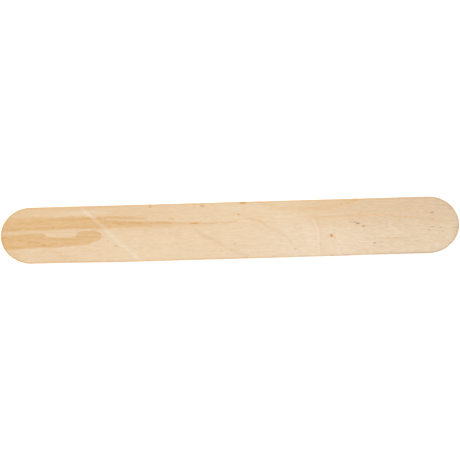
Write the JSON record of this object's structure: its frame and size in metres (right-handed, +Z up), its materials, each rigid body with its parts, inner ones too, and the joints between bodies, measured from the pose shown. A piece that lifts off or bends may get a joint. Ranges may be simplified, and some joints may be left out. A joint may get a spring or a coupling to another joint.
{
  "type": "tongue depressor",
  "caption": "Flat wooden blade with full-round ends and softened rims, used to press the tongue down while a throat is looked at.",
  "frame": {"origin": "centre of the flat underside that the blade rests on", "axes": "+X along the blade's length, +Y across its width, +Z up out of its upper broad face"},
  "size_m": [0.1524, 0.0188, 0.0016],
  "materials": {
    "birch": "matte"
  },
  "bodies": {
    "root": {"blade": "birch"}
  },
  "joints": []
}
